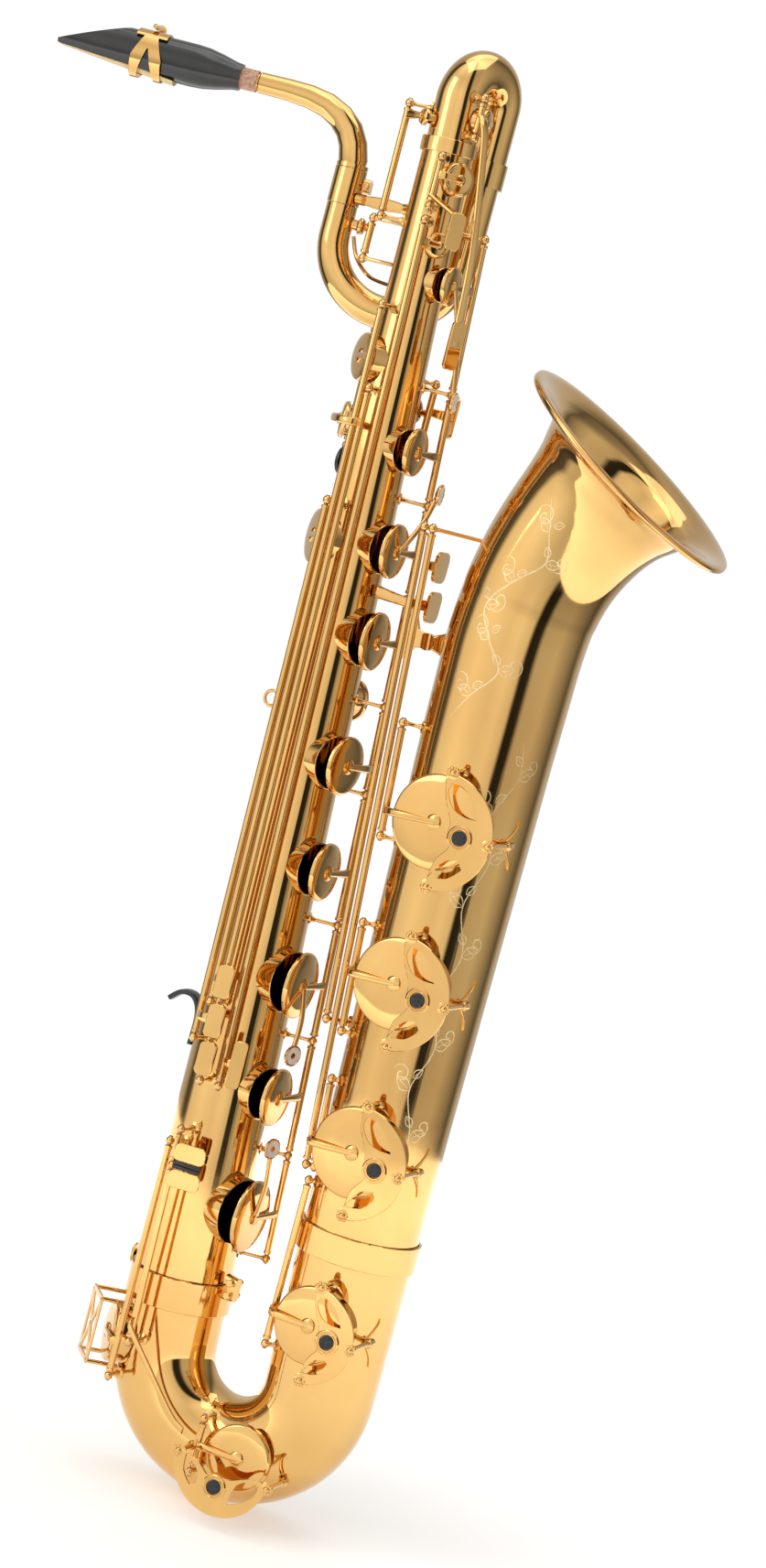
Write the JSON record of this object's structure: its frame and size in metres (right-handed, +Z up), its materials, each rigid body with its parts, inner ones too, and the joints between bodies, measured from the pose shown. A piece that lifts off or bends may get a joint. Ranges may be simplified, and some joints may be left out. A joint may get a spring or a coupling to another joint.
{
  "type": "baritone saxophone",
  "caption": "Baritone saxophone: looped conical brass tubes and flared bell, sprung keys on rods and posts, guards, swivelling neck, mouthpiece, strap ring.",
  "frame": {"origin": "centre of the strap ring on the back of the body tube, where the horn hangs from its strap", "axes": "+Z up along the body tube, +X from the body tube towards the bell, -Y towards the player's right hand"},
  "size_m": [0.5686, 0.1868, 1.0341],
  "materials": {
    "lacquered_brass": "polished brass under clear gold lacquer",
    "ebonite": "polished black hard rubber",
    "cork": "sanded cork",
    "cane": "bare cane reed",
    "black_plastic": "moulded black plastic",
    "mother_of_pearl": "polished mother-of-pearl",
    "felt": "black felt",
    "pad_leather": "tan leather pad",
    "spring_steel": "blued and plain steel springs and screws"
  },
  "bodies": {
    "horn": {"bell": "lacquered_brass", "bell_brace": "lacquered_brass", "bell_ferrule": "lacquered_brass", "body_top_ferrule": "lacquered_brass", "body_tube": "lacquered_brass", "bow": "lacquered_brass", "bow_clamp_ring": "lacquered_brass", "c_sharp_guard": "lacquered_brass", "e_flat_guard": "lacquered_brass", "loop_tube": "lacquered_brass", "low_a_guard": "lacquered_brass", "low_b_flat_guard": "lacquered_brass", "low_b_guard": "lacquered_brass", "low_c_guard": "lacquered_brass", "neck_receiver": "lacquered_brass", "receiver_brace": "lacquered_brass", "strap_plate": "lacquered_brass", "strap_ring": "lacquered_brass", "thumb_hook": "black_plastic", "thumb_rest": "black_plastic", "top_bow": "lacquered_brass", "y_brace": "lacquered_brass"},
    "neck": {"neck_tube": "lacquered_brass", "neck_cork": "cork"},
    "mouthpiece": {"mouthpiece": "ebonite", "reed": "cane", "ligature": "lacquered_brass"},
    "receiver_screw": {"receiver_screw": "lacquered_brass"},
    "ligature_screw": {"ligature_screw": "lacquered_brass"},
    "a_key": {"a_key": "lacquered_brass"},
    "b_key": {"b_key": "lacquered_brass"},
    "c_key": {"c_key": "lacquered_brass"},
    "c_sharp_key": {"c_sharp_key": "lacquered_brass"},
    "d_key": {"d_key": "lacquered_brass"},
    "e_flat_key": {"e_flat_key": "lacquered_brass"},
    "e_flat_lever": {"e_flat_lever": "lacquered_brass"},
    "e_key": {"e_key": "lacquered_brass"},
    "f_key": {"f_key": "lacquered_brass"},
    "f_sharp_key": {"f_sharp_key": "lacquered_brass"},
    "g_key": {"g_key": "lacquered_brass"},
    "g_sharp_key": {"g_sharp_key": "lacquered_brass"},
    "high_f_sharp_key": {"high_f_sharp_key": "lacquered_brass"},
    "high_vent_key": {"high_vent_key": "lacquered_brass"},
    "low_a_key": {"low_a_key": "lacquered_brass"},
    "low_a_lever": {"low_a_lever": "lacquered_brass"},
    "low_b_flat_key": {"low_b_flat_key": "lacquered_brass"},
    "low_b_flat_lever": {"low_b_flat_lever": "lacquered_brass"},
    "low_b_key": {"low_b_key": "lacquered_brass"},
    "low_b_lever": {"low_b_lever": "lacquered_brass"},
    "low_c_key": {"low_c_key": "lacquered_brass"},
    "low_c_lever": {"low_c_lever": "lacquered_brass"},
    "octave_lever": {"octave_lever": "lacquered_brass"},
    "octave_lower_key": {"octave_lower_key": "lacquered_brass"},
    "octave_upper_key": {"octave_upper_key": "lacquered_brass"},
    "palm_d_key": {"palm_d_key": "lacquered_brass"},
    "palm_e_flat_key": {"palm_e_flat_key": "lacquered_brass"},
    "palm_f_key": {"palm_f_key": "lacquered_brass"},
    "side_b_flat_key": {"side_b_flat_key": "lacquered_brass"},
    "side_c_key": {"side_c_key": "lacquered_brass"},
    "side_high_e_key": {"side_high_e_key": "lacquered_brass"}
  },
  "joints": [
    {"name": "neck_swivel", "type": "hinge", "parent": "horn", "child": "neck", "pos_m": [-0.05233, 0.02194, 0.3491], "axis": [0, 0, 1], "range_deg": [-35, 35]},
    {"name": "mouthpiece_slide", "type": "slide", "parent": "neck", "child": "mouthpiece", "axis": [-0.9736, -0.2284, 0], "range_m": [-0.005, 0.02]},
    {"name": "receiver_screw_turn", "type": "hinge", "parent": "horn", "child": "receiver_screw", "pos_m": [-0.0385, 0.02519, 0.3651], "axis": [-0.2284, 0.9736, 0], "range_deg": [-170, 170]},
    {"name": "ligature_screw_turn", "type": "hinge", "parent": "mouthpiece", "child": "ligature_screw", "pos_m": [-0.20859, -0.01471, 0.4366], "axis": [-0.2284, 0.9736, 0], "range_deg": [-170, 170]},
    {"name": "a_key_hinge", "type": "hinge", "parent": "horn", "child": "a_key", "pos_m": [0.07792, 0.01582, 0.0185], "axis": [0.0482, 0.0072, -0.9988], "range_deg": [0, 13], "stiffness_Nm_per_rad": 0.12, "springref_deg": -14.32},
    {"name": "b_key_hinge", "type": "hinge", "parent": "horn", "child": "b_key", "pos_m": [0.07415, 0.01526, 0.0965], "axis": [0.0482, 0.0072, -0.9988], "range_deg": [0, 13], "stiffness_Nm_per_rad": 0.12, "springref_deg": -14.32},
    {"name": "c_key_hinge", "type": "hinge", "parent": "horn", "child": "c_key", "pos_m": [0.07097, 0.01478, 0.1625], "axis": [0.0482, 0.0072, -0.9988], "range_deg": [0, 13], "stiffness_Nm_per_rad": 0.12, "springref_deg": -14.32},
    {"name": "c_sharp_key_hinge", "type": "hinge", "parent": "horn", "child": "c_sharp_key", "pos_m": [0.02917, -0.04621, -0.4849], "axis": [0, 0, 1], "range_deg": [0, 14], "stiffness_Nm_per_rad": 0.12, "springref_deg": -14.32},
    {"name": "d_key_hinge", "type": "hinge", "parent": "horn", "child": "d_key", "pos_m": [0.09731, 0.01873, -0.3835], "axis": [0.0482, 0.0072, -0.9988], "range_deg": [0, 13], "stiffness_Nm_per_rad": 0.12, "springref_deg": -14.32},
    {"name": "e_flat_key_hinge", "type": "hinge", "parent": "horn", "child": "e_flat_key", "pos_m": [0.10701, -0.04582, -0.5289], "axis": [0, 0, -1], "range_deg": [0, 12], "stiffness_Nm_per_rad": 0.12, "springref_deg": -14.32},
    {"name": "e_flat_lever_hinge", "type": "hinge", "parent": "horn", "child": "e_flat_lever", "pos_m": [0.04038, -0.05326, -0.4549], "axis": [-0.0254, 0.0209, 0.9995], "range_deg": [0, 8], "stiffness_Nm_per_rad": 0.12, "springref_deg": -14.32},
    {"name": "e_key_hinge", "type": "hinge", "parent": "horn", "child": "e_key", "pos_m": [0.09364, 0.01818, -0.3075], "axis": [0.0482, 0.0072, -0.9988], "range_deg": [0, 13], "stiffness_Nm_per_rad": 0.12, "springref_deg": -14.32},
    {"name": "f_key_hinge", "type": "hinge", "parent": "horn", "child": "f_key", "pos_m": [0.08959, 0.01758, -0.2235], "axis": [0.0482, 0.0072, -0.9988], "range_deg": [0, 13], "stiffness_Nm_per_rad": 0.12, "springref_deg": -14.32},
    {"name": "f_sharp_key_hinge", "type": "hinge", "parent": "horn", "child": "f_sharp_key", "pos_m": [0.08554, 0.01697, -0.1395], "axis": [0.0482, 0.0072, -0.9988], "range_deg": [0, 13], "stiffness_Nm_per_rad": 0.12, "springref_deg": -14.32},
    {"name": "g_key_hinge", "type": "hinge", "parent": "horn", "child": "g_key", "pos_m": [0.08096, 0.01628, -0.0445], "axis": [0.0482, 0.0072, -0.9988], "range_deg": [0, 13], "stiffness_Nm_per_rad": 0.12, "springref_deg": -14.32},
    {"name": "g_sharp_key_hinge", "type": "hinge", "parent": "horn", "child": "g_sharp_key", "pos_m": [0.03195, 0.03763, -0.0019], "axis": [0, 0, 1], "range_deg": [0, 13], "stiffness_Nm_per_rad": 0.12, "springref_deg": -14.32},
    {"name": "high_f_sharp_key_hinge", "type": "hinge", "parent": "horn", "child": "high_f_sharp_key", "pos_m": [0.05445, -0.04825, -0.2629], "axis": [0.0335, -0.0205, -0.9992], "range_deg": [0, 14], "stiffness_Nm_per_rad": 0.12, "springref_deg": -14.32},
    {"name": "high_vent_key_hinge", "type": "hinge", "parent": "horn", "child": "high_vent_key", "pos_m": [0.06716, 0.01421, 0.2415], "axis": [0.0482, 0.0072, -0.9988], "range_deg": [0, 13], "stiffness_Nm_per_rad": 0.12, "springref_deg": -14.32},
    {"name": "low_a_key_hinge", "type": "hinge", "parent": "horn", "child": "low_a_key", "pos_m": [0.11611, -0.02999, -0.0639], "axis": [-0.0664, 0, 0.9978], "range_deg": [0, 6.5], "stiffness_Nm_per_rad": 0.12, "springref_deg": -14.32},
    {"name": "low_a_lever_hinge", "type": "hinge", "parent": "horn", "child": "low_a_lever", "pos_m": [0.01734, 0.03671, -0.0669], "axis": [-0.0184, -0.0187, 0.9997], "range_deg": [0, 8], "stiffness_Nm_per_rad": 0.12, "springref_deg": -14.32},
    {"name": "low_b_flat_key_hinge", "type": "hinge", "parent": "horn", "child": "low_b_flat_key", "pos_m": [0.12529, -0.02999, -0.2019], "axis": [-0.0664, 0, 0.9978], "range_deg": [0, 6.5], "stiffness_Nm_per_rad": 0.12, "springref_deg": -14.32},
    {"name": "low_b_flat_lever_hinge", "type": "hinge", "parent": "horn", "child": "low_b_flat_lever", "pos_m": [0.11216, -0.02999, -0.1969], "axis": [-0.0664, 0, 0.9978], "range_deg": [0, 7], "stiffness_Nm_per_rad": 0.12, "springref_deg": -14.32},
    {"name": "low_b_key_hinge", "type": "hinge", "parent": "horn", "child": "low_b_key", "pos_m": [0.13175, -0.02999, -0.2989], "axis": [-0.0664, 0, 0.9978], "range_deg": [0, 6.5], "stiffness_Nm_per_rad": 0.12, "springref_deg": -14.32},
    {"name": "low_b_lever_hinge", "type": "hinge", "parent": "horn", "child": "low_b_lever", "pos_m": [0.12535, -0.02999, -0.2989], "axis": [-0.0664, 0, 0.9978], "range_deg": [0, 7], "stiffness_Nm_per_rad": 0.12, "springref_deg": -14.32},
    {"name": "low_c_key_hinge", "type": "hinge", "parent": "horn", "child": "low_c_key", "pos_m": [0.13047, -0.02964, -0.4289], "axis": [0, 0, 1], "range_deg": [0, 6.5], "stiffness_Nm_per_rad": 0.12, "springref_deg": -14.32},
    {"name": "low_c_lever_hinge", "type": "hinge", "parent": "horn", "child": "low_c_lever", "pos_m": [0.0371, -0.05056, -0.3261], "axis": [-0.0254, 0.0209, 0.9995], "range_deg": [0, 8], "stiffness_Nm_per_rad": 0.12, "springref_deg": -14.32},
    {"name": "octave_lever_hinge", "type": "hinge", "parent": "horn", "child": "octave_lever", "pos_m": [-0.00056, 0.01604, 0.1891], "axis": [-0.0097, -0.0099, 0.9999], "range_deg": [0, 10], "stiffness_Nm_per_rad": 0.12, "springref_deg": -14.32},
    {"name": "octave_lower_key_hinge", "type": "hinge", "parent": "horn", "child": "octave_lower_key", "pos_m": [-0.02255, 0.01147, 0.3191], "axis": [0, 0, -1], "range_deg": [0, 10], "stiffness_Nm_per_rad": 0.12, "springref_deg": -14.32},
    {"name": "octave_upper_key_hinge", "type": "hinge", "parent": "horn", "child": "octave_upper_key", "pos_m": [-0.00961, -0.008, 0.3501], "axis": [0.0078, -0.0048, -1], "range_deg": [0, 12], "stiffness_Nm_per_rad": 0.12, "springref_deg": -14.32},
    {"name": "palm_d_key_hinge", "type": "hinge", "parent": "horn", "child": "palm_d_key", "pos_m": [0.03172, -0.02857, 0.3631], "axis": [0, 0, -1], "range_deg": [0, 14], "stiffness_Nm_per_rad": 0.12, "springref_deg": -14.32},
    {"name": "palm_e_flat_key_hinge", "type": "hinge", "parent": "horn", "child": "palm_e_flat_key", "pos_m": [0.05022, 0.02422, 0.2031], "axis": [0, 0, -1], "range_deg": [0, 14], "stiffness_Nm_per_rad": 0.12, "springref_deg": -14.32},
    {"name": "palm_f_key_hinge", "type": "hinge", "parent": "horn", "child": "palm_f_key", "pos_m": [0.0458, -0.0145, 0.4161], "axis": [0, 0, -1], "range_deg": [0, 12], "stiffness_Nm_per_rad": 0.12, "springref_deg": -14.32},
    {"name": "side_b_flat_key_hinge", "type": "hinge", "parent": "horn", "child": "side_b_flat_key", "pos_m": [0.04069, -0.04969, -0.2629], "axis": [-0.0276, 0.0211, 0.9994], "range_deg": [0, 14], "stiffness_Nm_per_rad": 0.12, "springref_deg": -14.32},
    {"name": "side_c_key_hinge", "type": "hinge", "parent": "horn", "child": "side_c_key", "pos_m": [0.02646, -0.04674, -0.2359], "axis": [-0.0218, 0.0201, 0.9996], "range_deg": [0, 14], "stiffness_Nm_per_rad": 0.12, "springref_deg": -14.32},
    {"name": "side_high_e_key_hinge", "type": "hinge", "parent": "horn", "child": "side_high_e_key", "pos_m": [0.03243, -0.04782, -0.2079], "axis": [-0.0247, 0.0208, 0.9995], "range_deg": [0, 14], "stiffness_Nm_per_rad": 0.12, "springref_deg": -14.32}
  ],
  "couplings": [
    {"joint": "low_b_lever_hinge", "follows": "low_b_key_hinge", "ratio": 1.0758},
    {"joint": "low_b_flat_lever_hinge", "follows": "low_b_flat_key_hinge", "ratio": 1.0758},
    {"joint": "e_flat_lever_hinge", "follows": "e_flat_key_hinge", "ratio": 0.666},
    {"joint": "low_c_lever_hinge", "follows": "low_c_key_hinge", "ratio": 1.2295},
    {"joint": "low_a_lever_hinge", "follows": "low_a_key_hinge", "ratio": 1.2295},
    {"joint": "octave_upper_key_hinge", "follows": "octave_lever_hinge", "ratio": 1.1988},
    {"joint": "f_sharp_key_hinge", "follows": "f_key_hinge", "ratio": 0.999}
  ]
}
